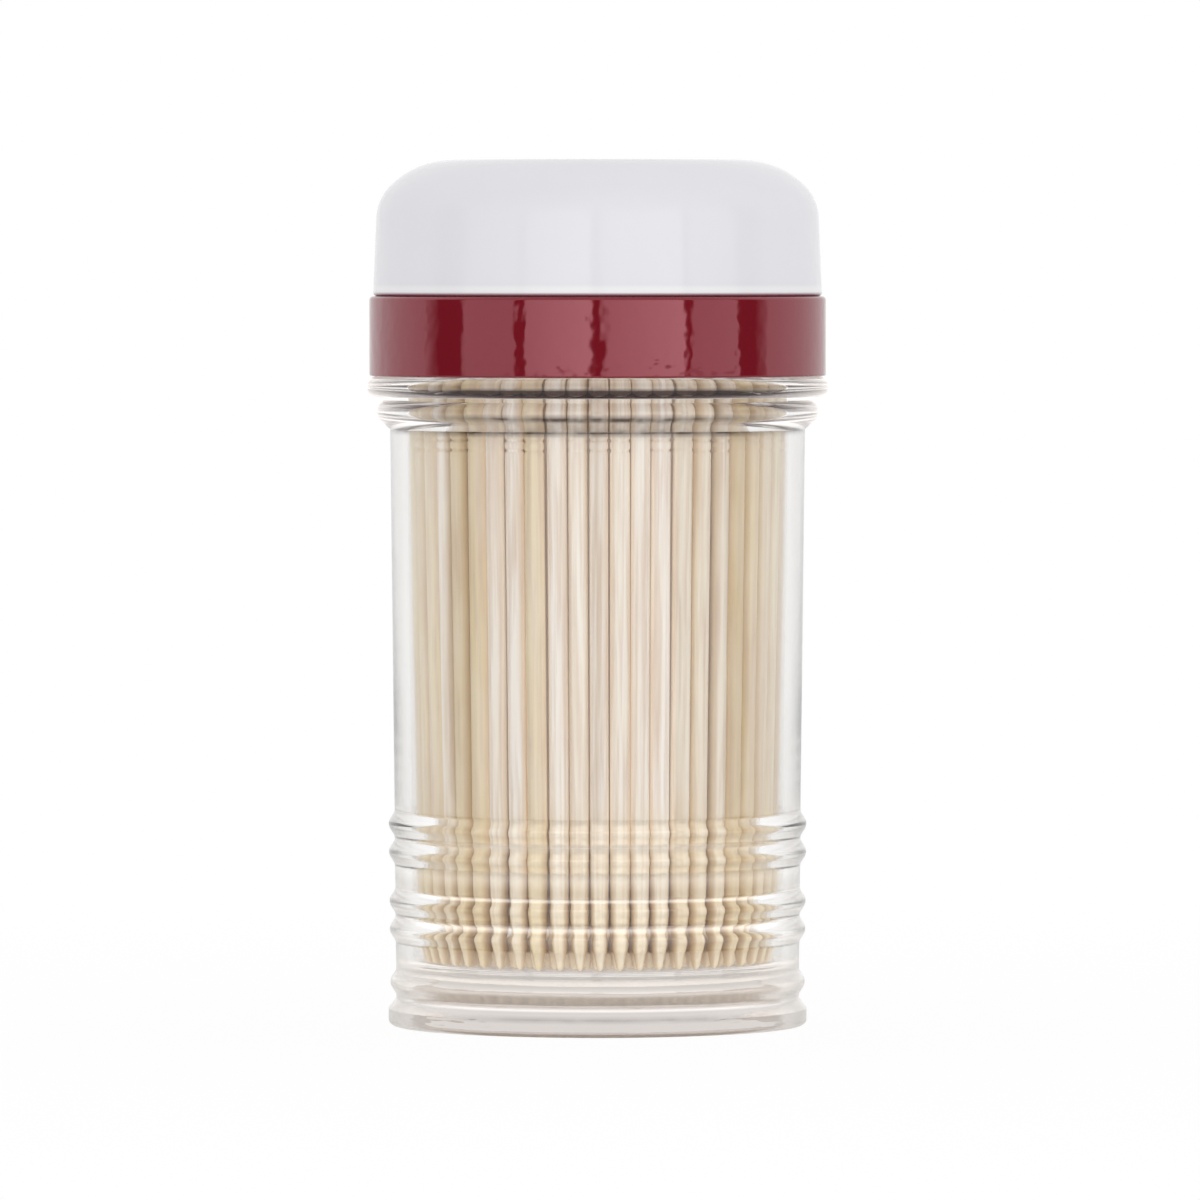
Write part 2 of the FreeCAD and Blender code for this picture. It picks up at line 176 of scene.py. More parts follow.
jar_outline = [
    (0, FLOOR_UNDER),
    (BORE_RADIUS_FLOOR, FLOOR_UNDER),
    (BORE_RADIUS_FLOOR, 0),
    (FOOT_RADIUS - FOOT_ROUND, 0),
    (FOOT_RADIUS, FOOT_ROUND, FOOT_ROUND),
    (FOOT_RADIUS, FOOT_RING_TOP),
    (FOOT_WALL_RADIUS, FOOT_WALL_HEIGHT),
]
rib_bottom = FOOT_WALL_HEIGHT
for gap in RIB_GAPS:
    rib_bottom += gap
    jar_outline += rib(rib_bottom)
    rib_bottom += RIB_WIDTH
jar_outline += [
    (BODY_RADIUS, BODY_TOP),
    (THROAT_RADIUS, GRIP_BOTTOM),
    (THROAT_RADIUS, THROAT_BOTTOM, bulge(GRIP_BOTTOM, THROAT_BOTTOM, GRIP_PROUD)),
    (THROAT_RADIUS, FLANGE_UNDER),
    (FLANGE_RIM_RADIUS, FLANGE_UNDER),
    (FLANGE_RIM_RADIUS, FLANGE_TOP, bulge(FLANGE_UNDER, FLANGE_TOP, FLANGE_PROUD)),
    (NECK_RADIUS, FLANGE_TOP),
    (NECK_RADIUS, NECK_RING_HEIGHTS[0]),
    (NECK_RADIUS, NECK_RING_HEIGHTS[1], bulge(*NECK_RING_HEIGHTS, NECK_RING_PROUD)),
    (NECK_RADIUS, MOUTH_HEIGHT - MOUTH_BEVEL),
    (NECK_RADIUS - MOUTH_BEVEL, MOUTH_HEIGHT),
    (BORE_RADIUS_MOUTH, MOUTH_HEIGHT),
    (BORE_RADIUS_FLOOR, FLOOR_HEIGHT + FLOOR_ROUND),
    (BORE_RADIUS_FLOOR - FLOOR_ROUND, FLOOR_HEIGHT, -FLOOR_ROUND),
    (0, FLOOR_HEIGHT),
]


class Wire:
    """One value in a material's nodes. Plain arithmetic on it adds Math nodes."""

    def __init__(self, tree, socket=None):
        self.tree = tree
        self.socket = socket

    def add(self, kind, settings=None, values=None, output=0):
        """Adds a node of that kind, sets it, fills its sockets with values or wires, and gives its output."""
        node = self.tree.nodes.new("ShaderNode" + kind)
        for name, setting in (settings or {}).items():
            if name == "stops":
                stops = node.color_ramp.elements
                while len(stops) < len(setting):
                    stops.new(1)
                for stop, (place, grey) in zip(stops, setting):
                    stop.position = place
                    stop.color = (grey, grey, grey, 1)
            else:
                setattr(node, name, setting)
        for name, value in (values or {}).items():
            if isinstance(value, Wire):
                self.tree.links.new(value.socket, node.inputs[name])
            else:
                node.inputs[name].default_value = value
        return Wire(self.tree, node.outputs[output] if node.outputs else None)

    def math(self, operation, *values):
        """One Math node over these values or wires."""
        return self.add("Math", {"operation": operation}, dict(enumerate(values)))

    def __add__(self, other):
        return self.math("ADD", self, other)

    __radd__ = __add__

    def __sub__(self, other):
        return self.math("SUBTRACT", self, other)

    def __rsub__(self, other):
        return self.math("SUBTRACT", other, self)

    def __mul__(self, other):
        return self.math("MULTIPLY", self, other)

    __rmul__ = __mul__

    def __truediv__(self, other):
        return self.math("DIVIDE", self, other)

    def __rtruediv__(self, other):
        return self.math("DIVIDE", other, self)

    def parts(self):
        """The three parts of a vector."""
        node = self.add("SeparateXYZ", {}, {0: self}).socket.node
        return [Wire(self.tree, output) for output in node.outputs]

    def length(self):
        """The length of a vector."""
        return self.add("VectorMath", {"operation": "LENGTH"}, {0: self}, output=1)

    def stretched(self, by):
        """A place in space, stretched along each axis."""
        return self.add("VectorMath", {"operation": "MULTIPLY"}, {0: self, 1: by})

    def noise(self, scale, detail=2.0):
        """Soft clouds from 0 to 1 over a place in space."""
        return self.add("TexNoise", {}, {"Vector": self, "Scale": scale, "Detail": detail})

    def ranged(self, low, high, to_low, to_high):
        """Maps low..high to to_low..to_high, and holds what lies outside."""
        values = {"Value": self, "From Min": low, "From Max": high, "To Min": to_low, "To Max": to_high}
        return self.add("MapRange", {"clamp": True}, values)

    def near(self, middle, reach):
        """1 at a value, falling to 0 at the reach on both sides of it."""
        return self.ranged(middle - reach, middle, 0, 1) * self.ranged(middle, middle + reach, 1, 0)

    def between(self, first, second):
        """A colour between two, by this value."""
        return self.add("Mix", {"data_type": "RGBA"}, {0: self, 6: first, 7: second}, output=2)

    def bump(self, strength, depth):
        """The surface's direction, with this value as its height in millimetres."""
        return self.add("Bump", {}, {"Height": self, "Strength": strength, "Distance": depth * MM})


def start_material(name):
    """An empty material, and the wire that its nodes are added with."""
    material = bpy.data.materials.new(name)
    material.use_nodes = True
    material.node_tree.nodes.clear()
    return material, Wire(material.node_tree)


def end_material(wire, values):
    """Closes a material with its Principled shader."""
    shader = wire.add("BsdfPrincipled", {}, values)
    wire.add("OutputMaterial", {}, {"Surface": shader})


CLEAR_WARM = (0.995, 0.992, 0.988, 1)
CLEAR_COOL = (1.0, 1.0, 0.997, 1)
# Painted shade: the foot, under the floor, darker than the wall.
FOOT_TINT = (0.64, 0.60, 0.575, 1)
# Painted refraction: the ribs' slopes take on the colour of the wood seen through them.
RIB_TINT = (0.87, 0.80, 0.68, 1)  # wood seen bent in the slopes of the ribs
# Painted shade in a band round the outside, just under the floor.
UNDER_FLOOR_TINT = (0.37, 0.34, 0.31, 1)
# Painted shade: dark lines under the grip bead, under the flange and at the foot ring's edge.
DARK_EDGE_TINT = (0.022, 0.008, 0.006, 1)
GRAZING_WALL_SHADE = (0.67, 0.645, 0.605, 1)  # painted shade where the wall is seen along its length
GRAZING_FOOT_SHADE = (0.36, 0.345, 0.325, 1)
NO_GLOW = (0, 0, 0, 1)
# Painted highlights: glow that the clear jar gives off at its rims, ribs, foot, lowest crest and bright
# lines.
RIM_GLOW = (0.34, 0.31, 0.29, 1)
RIB_GLOW = (0.035, 0.034, 0.032, 1)
FOOT_GLOW = (0.050, 0.048, 0.046, 1)
CREST_GLOW = (0.165, 0.152, 0.135, 1)
LINE_GLOW = (0.40, 0.40, 0.40, 1)

# Places on the jar, each as its height and its reach up and down. A bright line, a painted highlight, also
# has its share of light.
BRIGHT_LINES = (
    (3.1, 0.3, 1),  # over the foot ring
    (10.9, 0.8, 0.15),  # on the second rib
    (12.2, 0.5, 1),  # between the lower pair of ribs
    (15.5, 0.3, 1),  # over the lower pair
    (17.8, 1.2, 0.35),  # under the upper pair
    (21.6, 0.7, 0.3),  # between the upper pair
)
LOWEST_CREST = (4.6, 1.8)
UNDER_FLOOR = (6.3, 1.1)
FLOOR_MIST = (7.8, 1.6)
UNDER_BEAD = (69.6, 1.4)
UNDER_FLANGE = (73.3, 0.7)
FOOT_RING_EDGE = (2.0, 0.5)
# Ends of a belt, each as the two heights between which it comes or goes.
FOOT_TOP = (6.9, 7.4)
RIBS_BOTTOM = (9.0, 9.8)
RIBS_TOP = (24.7, 25.3)
RIMS_BOTTOM = (69.0, 69.8)
RIMS_TOP = (75.0, 75.2)
# The wall's inside skin lies within the first radius, and its outside skin beyond the second.
WALL_SKINS = (22.6, 23.0)

styrene, wire = start_material("clear_styrene")
place = wire.add("TexCoord", output="Object")
up = place.parts()[2] / MM
outside = (place.stretched((1, 1, 0)).length() / MM).ranged(*WALL_SKINS, 0, 1)
slant = wire.add("LayerWeight", {}, {"Blend": 0.5}, output="Facing")  # 0 seen straight on, 1 seen along
steep = slant.ranged(0.45, 0.80, 0, 1)
foot = up.ranged(*FOOT_TOP, 1, 0)
ribs = up.ranged(*RIBS_BOTTOM, 0, 1) * up.ranged(*RIBS_TOP, 1, 0)
rims = up.ranged(*RIMS_BOTTOM, 0, 1) * up.ranged(*RIMS_TOP, 1, 0) * steep
lumps = place.noise(380).ranged(0.38, 0.56, 0.7, 1)

clear = place.stretched((1, 1, 0.35)).noise(90).between(CLEAR_WARM, CLEAR_COOL)
# Painted shade on the foot.
clear = foot.between(clear, FOOT_TINT)
# Painted refraction of the wood in the ribs' slopes, where they are seen at a slant.
clear = (ribs * slant.near(0.30, 0.15)).between(clear, RIB_TINT)
# Painted shade in a band round the outside, just under the floor.
clear = (up.near(*UNDER_FLOOR) * outside * 2).ranged(0, 1, 0, 0.8).between(clear, UNDER_FLOOR_TINT)
# Painted shade lines under the bead and the flange and at the foot ring's edge, on the outside where it is
# seen straight on.
dark_edges = (up.near(*UNDER_BEAD) * 2.4).ranged(0, 1, 0, 1) * lumps
dark_edges = dark_edges + up.near(*UNDER_FLANGE) * 1.8 + up.near(*FOOT_RING_EDGE) * lumps * 0.6
dark_edges = (dark_edges * outside * slant.ranged(0.20, 0.50, 1, 0)).ranged(0, 1, 0, 1)
clear = dark_edges.between(clear, DARK_EDGE_TINT)
# Painted shade where the wall and the foot are seen at a slant.
grazing_shade = (foot + ribs * steep * 0.52).between(GRAZING_WALL_SHADE, GRAZING_FOOT_SHADE)
clear = (slant.ranged(0.40, 0.72, 0, 1) * (1 - rims)).between(clear, grazing_shade)

# Painted highlights, as glow on the clear jar.
bright = sum(up.near(height, reach) * share for height, reach, share in BRIGHT_LINES)
glow = rims.between(NO_GLOW, RIM_GLOW)
glow = (ribs * steep).between(glow, RIB_GLOW)
glow = foot.between(glow, FOOT_GLOW)
glow = (up.near(*LOWEST_CREST) * outside * (1 - steep)).between(glow, CREST_GLOW)
glow = (bright * outside * slant.ranged(0.35, 0.65, 1, 0)).between(glow, LINE_GLOW)

flow = place.stretched((1, 1, 0.12)).noise(160, 1.0)  # long marks of the plastic's flow, up the wall
ripples = place.stretched((0.15, 0.15, 1)).noise(1300, 1.0)  # fine ones round the foot
mist = up.near(*FLOOR_MIST) * 0.06 + foot * 0.02 + slant.ranged(0.40, 0.75, 0, 0.09)
end_material(wire, {
    "Base Color": clear,
    "Roughness": place.noise(400).ranged(0.3, 0.7, 0.012, 0.03) + mist,
    "Normal": (flow * 0.2 + ripples * foot * 1.6).bump(0.5, 0.05),
    "Transmission Weight": 1.0,
    "IOR": 1.59,
    "Emission Color": glow,
    "Emission Strength": 1.0,
})

jar = turned("jar_moulding", rounded(jar_outline))
jar.data.materials.append(styrene)
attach(jar, "jar")
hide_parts("jar")

# ======== The toothpicks ========
# Turned birch sticks that stand loose in the jar on their points, close together against the wall. Each has
# a long point, three turned rings near its blunt end, and its own girth, bend, grain and tone.

PICK_SIDES = 14
PICK_RADIUS = 1.1
PICK_LENGTH = 68.0
PICK_RINGS = (59.8, 60.95, 62.1)  # up from the point
RING_DEPTH = 0.3
RING_SECTION = ((-0.3, 0), (-0.16, 0.45), (0, 1), (0.16, 0.45), (0.3, 0))  # (height, share of the depth)
RING_ROOM = 0.5  # from the middle of the outermost rings to the plain stick
# A toothpick's outline is (height, radius), from the point up.
PICK_POINT = (
    (0.0, 0.2), (0.15, 0.27), (0.8, 0.42), (1.8, 0.61), (2.9, 0.78), (4.2, 0.93), (5.6, 1.02), (7.4, 1.07)
)
PICK_SHAFT_HEIGHTS = (10, 17, 24, 31, 38, 45, 52, 58.5)
PICK_BLUNT_END = ((64.5, PICK_RADIUS), (67.5, PICK_RADIUS), (67.8, 0.92), (PICK_LENGTH, 0.65))
PICK_APART = 3 * PICK_RADIUS  # ends that lie further apart than this belong to two picks
END_LINK = 0.5  # points of one pick's end lie nearer together than this, and those of two picks don't
LOWEST_SLICE = 0.5
HIGHEST_SLICE = 0.4

RING_SHARES = (0.1, 0.25, 0.5, 0.8)  # how deep the rings of one toothpick may be cut
GIRTHS = (0.93, 0.97, 0.985, 0.995, 1.0)
OVAL = 0.02  # most that a stick is out of round
BOW = 0.06  # most that its middle stands out of line
GRAIN_ROOM = 500  # millimetres of grain that the sticks are cut from
# Where the jar holds darker and paler sticks, from -1 at its left to 1 at its right as seen from the front.
# This is the sticks' own tone, partly painted shade towards the sides.
DARKER_STICKS = ((-0.77, -0.63, 1.2), (0.72, 0.84, 1.8))  # (from, to, how much darker)
PALER_STICKS = (0.25, 0.72)
ODD_DARK_STICK = 1.2  # how much darker one stick among others is, more often towards the sides
HARD_TO_LIGHT = 0.1

pick_outline = list(PICK_POINT)
pick_outline += [(height, PICK_RADIUS) for height in PICK_SHAFT_HEIGHTS]
for height in PICK_RINGS:
    pick_outline += [(height + across, PICK_RADIUS - RING_DEPTH * share) for across, share in RING_SECTION]
pick_outline += PICK_BLUNT_END


def ends(places):
    """Middles of the separate ends among these points of a node's mesh."""
    middles = []
    while len(places):
        near = np.linalg.norm(places[:, :2] - places[0, :2], axis=1) < PICK_APART
        beside = places[near]
        taken = np.arange(len(beside)) == 0
        for _ in range(len(beside)):
            gaps = np.linalg.norm(beside[:, None, :2] - beside[None, taken, :2], axis=2).min(axis=1)
            if (gaps < END_LINK).sum() == taken.sum():
                break
            taken = gaps < END_LINK
        end = beside[taken]
        middles.append((end.min(axis=0) + end.max(axis=0)) / 2)
        places = np.concatenate((beside[~taken], places[~near]))
    return np.array(middles)


def pick_axes(node):
    """(point, blunt end) of each toothpick in a node, in millimetres."""
    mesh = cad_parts[node].data
    places = np.empty(len(mesh.vertices) * 3)
    mesh.vertices.foreach_get("co", places)
    places = places.reshape(-1, 3) / MM
    heights = places[:, 2]
    points = ends(places[heights < heights.min() + LOWEST_SLICE])
    blunts = ends(places[heights > heights.max() - HIGHEST_SLICE])
    flare = np.linalg.norm(blunts[:, :2], axis=1).mean() / np.linalg.norm(points[:, :2], axis=1).mean()
    pairs = []
    for point in points:
        nearest = np.linalg.norm(blunts[:, :2] - point[:2] * flare, axis=1).argmin()
        pairs.append((point, blunts[nearest]))
    return pairs


def stick(point, blunt, chance):
    """Points of one toothpick, and at each of them its grain, its shade (how dark and how pale it is, and how
    far up this is) and its sides (how much this faces the next toothpick, and how much light gets there)."""
    along = (blunt - point) / np.linalg.norm(blunt - point)
    across = np.cross(along, (0, 1, 0))
    across /= np.linalg.norm(across)
    beside = np.cross(along, across)
    heights, radii = np.array(pick_outline).T
    ring_share = chance.choice(RING_SHARES)
    in_rings = (heights > PICK_RINGS[0] - RING_ROOM) & (heights < PICK_RINGS[-1] + RING_ROOM)
    radii = np.where(in_rings, PICK_RADIUS - (PICK_RADIUS - radii) * ring_share, radii)
    angles = np.arange(PICK_SIDES) * 2 * math.pi / PICK_SIDES
    oval = 1 - chance.uniform(0, OVAL) * np.cos(2 * angles + chance.uniform(0, math.pi))
    out = chance.choice(GIRTHS) * radii[:, None] * oval
    way = chance.uniform(0, math.pi)
    arch = chance.uniform(-BOW, BOW) * np.sin(math.pi * heights / PICK_LENGTH)
    bend = np.outer(arch, across * math.cos(way) + beside * math.sin(way))
    middles = point + np.outer(heights, along) + bend
    spokes = np.outer(np.cos(angles), across) + np.outer(np.sin(angles), beside)
    places = middles[:, None] + out[:, :, None] * spokes
    offset = np.array([chance.uniform(0, GRAIN_ROOM) for _ in range(3)])
    level = np.repeat(heights[:, None], PICK_SIDES, axis=1)
    grain = np.stack((out * np.cos(angles), out * np.sin(angles), level), axis=2) + offset
    round_jar = np.array((-point[1], point[0], 0)) / math.hypot(point[0], point[1])
    sideways = round_jar[1]
    aside = abs(sideways)
    # Sticks are darker and more olive towards the jar's sides as seen from the front: their own tone, and
    # partly painted shade.
    dark = chance.random() * (0.5 + aside) + ODD_DARK_STICK * (chance.random() < 0.4 * aside)
    pale = chance.random() ** (0.3 + 1.6 * aside * aside)
    for left, right, darker in DARKER_STICKS:
        if left < sideways < right:
            dark += darker
            pale *= 0.25
    if PALER_STICKS[0] < sideways < PALER_STICKS[1]:
        dark *= 0.6
        pale = max(pale, 0.35)
    shade = np.stack((level * 0 + dark, level * 0 + pale, level / PICK_LENGTH), axis=2)
    facing = np.abs(spokes @ round_jar)
    lit = HARD_TO_LIGHT if chance.random() < 0.12 + 0.7 * aside else 1.0
    sides = np.stack((level * 0 + facing, level * 0 + lit, level * 0), axis=2)
    return places.reshape(-1, 3), grain.reshape(-1, 3), shade.reshape(-1, 3), sides.reshape(-1, 3)


def pick_mesh(name, axes, chance):
    """One mesh with a separate toothpick along each axis."""
    sticks = [stick(point, blunt, chance) for point, blunt in axes]
    rings = len(pick_outline)
    side = np.arange(PICK_SIDES)
    after = (side + 1) % PICK_SIDES
    low = np.arange(rings - 1)[:, None] * PICK_SIDES
    walls = np.stack((low + side, low + after, low + PICK_SIDES + after, low + PICK_SIDES + side), axis=2)
    faces = []
    for number in range(len(sticks)):
        first = number * rings * PICK_SIDES
        faces += (walls.reshape(-1, 4) + first).tolist()
        faces.append((side[::-1] + first).tolist())
        faces.append((side + first + (rings - 1) * PICK_SIDES).tolist())
    mesh = bpy.data.meshes.new(name)
    mesh.from_pydata((np.concatenate([one[0] for one in sticks]) * MM).tolist(), [], faces)
    for number, attribute in ((1, "grain"), (2, "shade"), (3, "sides")):
        layer = mesh.attributes.new(attribute, "FLOAT_VECTOR", "POINT")
        values = np.concatenate([one[number] for one in sticks])
        layer.data.foreach_set("vector", values.astype(np.float32).ravel())
    return smoothed(mesh)


PALE_WOOD = (0.97, 0.925, 0.875, 1)
PLAIN_WOOD = (0.965, 0.90, 0.765, 1)
OLIVE_WOOD = (0.88, 0.76, 0.45, 1)
DARK_WOOD = (0.74, 0.57, 0.28, 1)
STREAK = (0.74, 0.58, 0.425, 1)
FIBRE = (0.70, 0.54, 0.42, 1)
MOTTLE = (0.96, 0.88, 0.74, 1)
YELLOWED = (0.95, 0.82, 0.55, 1)  # towards the point
POINT_GAP = (0.42, 0.22, 0.05, 1)  # painted shade between the points
UNLIT_GAP = (0.60, 0.41, 0.17, 1)  # between two sticks that let little light in
CUT_END = (0.50, 0.36, 0.22, 1)
SIDE_LIGHT = (0.118, 0.109, 0.090, 1)  # light that pale wood passes on to the stick beside it
POINT_LIGHT = (0.19, 0.168, 0.135, 1)

birch, wire = start_material("birch")
grain = wire.add("Attribute", {"attribute_name": "grain"}, output="Vector")
dark, pale, height = wire.add("Attribute", {"attribute_name": "shade"}, output="Vector").parts()
facing, lit, _ = wire.add("Attribute", {"attribute_name": "sides"}, output="Vector").parts()
streaks = grain.stretched((1, 1, 0.035)).noise(0.9, 3.0)
fibres = grain.stretched((1, 1, 0.03)).noise(2.4, 3.0)
mottle = grain.stretched((0.5, 0.5, 0.12)).noise(0.8, 2.0)
wood = pale.ranged(0.35, 0.8, 0, 1).between(PLAIN_WOOD, PALE_WOOD)
wood = pale.ranged(0.0, 0.3, 1, 0).between(wood, OLIVE_WOOD)
# Darker sticks: their own tone, partly painted shade towards the jar's sides.
wood = (dark * 0.27).between(wood, DARK_WOOD)
wood = streaks.ranged(0.44, 0.66, 0, 0.75).between(wood, STREAK)
wood = fibres.ranged(0.44, 0.64, 0, 0.6).between(wood, FIBRE)
wood = mottle.ranged(0.35, 0.65, 0, 0.3).between(wood, MOTTLE)
wood = height.ranged(0.06, 0.32, 0.5, 0).between(wood, YELLOWED)
# Painted shade where the sticks face each other near their points.
wood = (facing.ranged(0.45, 0.95, 0, 0.85) * height.near(0.07, 0.14)).between(wood, POINT_GAP)
wood = (facing.ranged(0.55, 0.95, 0, 0.5) * (1 - lit * 0.75)).between(wood, UNLIT_GAP)
wood = height.ranged(0.994, 0.999, 0, 0.45).between(wood, CUT_END)
touching = facing.ranged(0.78, 1.0, 0, 1) * lit * height.ranged(0.16, 0.26, 0, 1)
light = touching.between(NO_GLOW, SIDE_LIGHT)
end_material(wire, {
    "Base Color": wood,
    "Roughness": fibres.ranged(0.3, 0.7, 0.5, 0.68),
    "Normal": (fibres * 0.6 + streaks * 0.4).bump(0.5, 0.06),
    "Specular IOR Level": 0.3,
    "Emission Color": height.ranged(0.01, 0.05, 1, 0).between(light, POINT_LIGHT),
    "Emission Strength": 1.0,
})

STICK_SEED = 11
chance = random.Random(STICK_SEED)
for node in sorted(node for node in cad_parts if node.startswith("toothpick")):
    mesh = pick_mesh(node, pick_axes(node), chance)
    sticks = bpy.data.objects.new(node.replace("toothpick", "birch_pick"), mesh)
    bpy.context.scene.collection.objects.link(sticks)
    sticks.data.materials.append(birch)
    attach(sticks, "jar")
    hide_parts(node)

# ======== The dispensing collar ========
# Glossy red plastic moulding, pushed over the jar's neck until it sits on the flange. Its plate rises as a
# funnel to the hole that a toothpick is shaken out through, and the overcap goes over its spigot.

SKIRT_INSIDE = 24.75
BAND_RADIUS = 26.4
BAND_TOP = 84.3
BAND_ROUND = 0.45
BAND_EDGE = 0.2
SPIGOT_RADIUS = 24.25
SPIGOT_WALL = 1.4
SPIGOT_TOP = 88.9
SPIGOT_BEVEL = 0.5
SPIGOT_RING_HEIGHTS = (86.0, 87.2)
SPIGOT_RING_PROUD = 0.1
SHOULDER_UNDER = 83.0
PLATE_THICKNESS = 1.5
PLATE_APEX = 92.1
HOLE_RADIUS = 1.6
NOZZLE_RADIUS = 3.6
NOZZLE_TOP = 93.2
NOZZLE_ROUND = 0.5

collar_outline = [
    (SKIRT_INSIDE, FLANGE_TOP),
    (BAND_RADIUS - BAND_EDGE, FLANGE_TOP),
    (BAND_RADIUS, FLANGE_TOP + BAND_EDGE, BAND_EDGE),
    (BAND_RADIUS, BAND_TOP - BAND_ROUND),
    (BAND_RADIUS - BAND_ROUND, BAND_TOP, BAND_ROUND),
    (SPIGOT_RADIUS, BAND_TOP),
    (SPIGOT_RADIUS, SPIGOT_RING_HEIGHTS[0]),
    (SPIGOT_RADIUS, SPIGOT_RING_HEIGHTS[1], bulge(*SPIGOT_RING_HEIGHTS, SPIGOT_RING_PROUD)),
    (SPIGOT_RADIUS, SPIGOT_TOP - SPIGOT_BEVEL),
    (SPIGOT_RADIUS - SPIGOT_BEVEL, SPIGOT_TOP),
    (NOZZLE_RADIUS, PLATE_APEX),
    (NOZZLE_RADIUS, NOZZLE_TOP - NOZZLE_ROUND),
    (NOZZLE_RADIUS - NOZZLE_ROUND, NOZZLE_TOP, NOZZLE_ROUND),
    (HOLE_RADIUS, NOZZLE_TOP),
    (HOLE_RADIUS, PLATE_APEX - PLATE_THICKNESS),
    (SPIGOT_RADIUS - SPIGOT_WALL, SPIGOT_TOP - PLATE_THICKNESS),
    (SPIGOT_RADIUS - SPIGOT_WALL, SHOULDER_UNDER),
    (SKIRT_INSIDE, SHOULDER_UNDER),
]

DEEP_RED = (0.180, 0.006, 0.014, 1)
BRIGHT_RED = (0.200, 0.008, 0.017, 1)
RED_GLOSS = (1.0, 0.50, 0.56, 1)

red_plastic, wire = start_material("red_plastic")
place = wire.add("TexCoord", output="Object")
peel = place.noise(520, 1.0) * place.noise(45).ranged(0.42, 0.58, 0.1, 1)
end_material(wire, {
    "Base Color": place.noise(60).between(DEEP_RED, BRIGHT_RED),
    "Roughness": place.noise(250).ranged(0.3, 0.7, 0.035, 0.055),
    "Normal": peel.bump(0.6, 0.08),
    "IOR": 1.58,
    "Specular IOR Level": 1.0,
    "Specular Tint": RED_GLOSS,
})

collar = turned("red_collar", rounded(collar_outline))
collar.data.materials.append(red_plastic)
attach(collar, "collar")
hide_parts("dispensing_collar")

# ======== The overcap ========
# White plastic moulding with a flat top and a full rounded corner, pushed over the spigot down to the ledge
# of the red band. A short straight foot fits the spigot, and the wall above it leans in a little.

CAP_INSIDE = 24.55
CAP_WALL = 1.5
CAP_FOOT_RADIUS = 25.95
CAP_FOOT_ROUND = 0.4
CAP_SIDE_RADIUS = 25.6
CAP_TOP = 100.0
CORNER_RISE = 6.9
CORNER_REACH = 8.7
CORNER_FLATNESS = 1.3

# The corner is two rounds that meet smoothly: a tight one from the side and a wide one into the top.
side_arc = CORNER_RISE - CORNER_FLATNESS
spare = CORNER_REACH - side_arc
crown_arc = (spare * spare + CORNER_RISE * CORNER_RISE - side_arc * side_arc) / (CORNER_FLATNESS * 2)
share_across = spare / (crown_arc - side_arc)
share_up = (crown_arc - CORNER_RISE) / (crown_arc - side_arc)


def tangent_point(inset):
    """Where the corner's side round meets its crown round, at that depth inside the skin."""
    arc = side_arc - inset
    return CAP_SIDE_RADIUS - side_arc + arc * share_across, CAP_TOP - CORNER_RISE + arc * share_up


overcap_outline = [
    (CAP_INSIDE, BAND_TOP),
    (CAP_FOOT_RADIUS - CAP_FOOT_ROUND, BAND_TOP),
    (CAP_FOOT_RADIUS, BAND_TOP + CAP_FOOT_ROUND, CAP_FOOT_ROUND),
    (CAP_SIDE_RADIUS, CAP_TOP - CORNER_RISE),
    (*tangent_point(0), side_arc),
    (CAP_SIDE_RADIUS - CORNER_REACH, CAP_TOP, crown_arc),
    (0, CAP_TOP),
    (0, CAP_TOP - CAP_WALL),
    (CAP_SIDE_RADIUS - CORNER_REACH, CAP_TOP - CAP_WALL),
    (*tangent_point(CAP_WALL), CAP_WALL - crown_arc),
    (CAP_SIDE_RADIUS - CAP_WALL, CAP_TOP - CORNER_RISE, CAP_WALL - side_arc),
    (CAP_INSIDE, SPIGOT_TOP),
]

CREAM_WHITE = (0.835, 0.826, 0.87, 1)
SNOW_WHITE = (0.855, 0.846, 0.885, 1)
FOOT_WHITE = (0.94, 0.94, 0.95, 1)  # the foot's round, lit from below
SEAM_RED = (0.20, 0.02, 0.04, 1)  # the red band shining back on the foot's edge
FOOT_GLEAM = (85.1, 0.6)  # (height, reach)
SEAM_TOP = (84.5, 84.8)

white_plastic, wire = start_material("white_plastic")
place = wire.add("TexCoord", output="Object")
up = place.parts()[2] / MM
white = place.noise(70).between(CREAM_WHITE, SNOW_WHITE)
white = up.near(*FOOT_GLEAM).between(white, FOOT_WHITE)
white = up.ranged(*SEAM_TOP, 0.9, 0).between(white, SEAM_RED)
end_material(wire, {
    "Base Color": white,
    "Roughness": place.noise(220).ranged(0.3, 0.7, 0.07, 0.10),
    "Normal": place.stretched((1, 1, 0.5)).noise(120, 1.0).bump(0.3, 0.03),
    "IOR": 1.5,
    "Specular IOR Level": 0.25,
})

overcap = turned("white_overcap", rounded(overcap_outline))
overcap.data.materials.append(white_plastic)
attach(overcap, "overcap")
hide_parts("overcap")

# ======== The table ========
# A wide sheet of pale matt paper, laid flat, with the jar standing loose on it. It runs out to plain white,
# and close to the jar it keeps a soft shadow.

# Sizes from here on are in metres.
PAPER_RADIUS = 1.1
PAPER_SIDES = 96
PAPER_DROP = 0.00005
PAPER_GREYS = ((0.90, 0.90, 0.90, 1), (0.93, 0.93, 0.93, 1))
SHADOW_REACH = (0.03, 0.25)  # how far from the jar's axis the shadow starts to fade, and where it is gone
SHADOW_SHARE = 0.045
WHITE = (1, 1, 1, 1)


def in_view(wire):
    """1 for a ray from the camera, straight or through the clear jar, and 0 for one that only lights."""
    straight = wire.math("LESS_THAN", wire.add("LightPath", output="Diffuse Depth"), 0.5)
    through = wire.add("LightPath", output="Is Transmission Ray") * straight
    return wire.math("MAXIMUM", wire.add("LightPath", output="Is Camera Ray"), through)


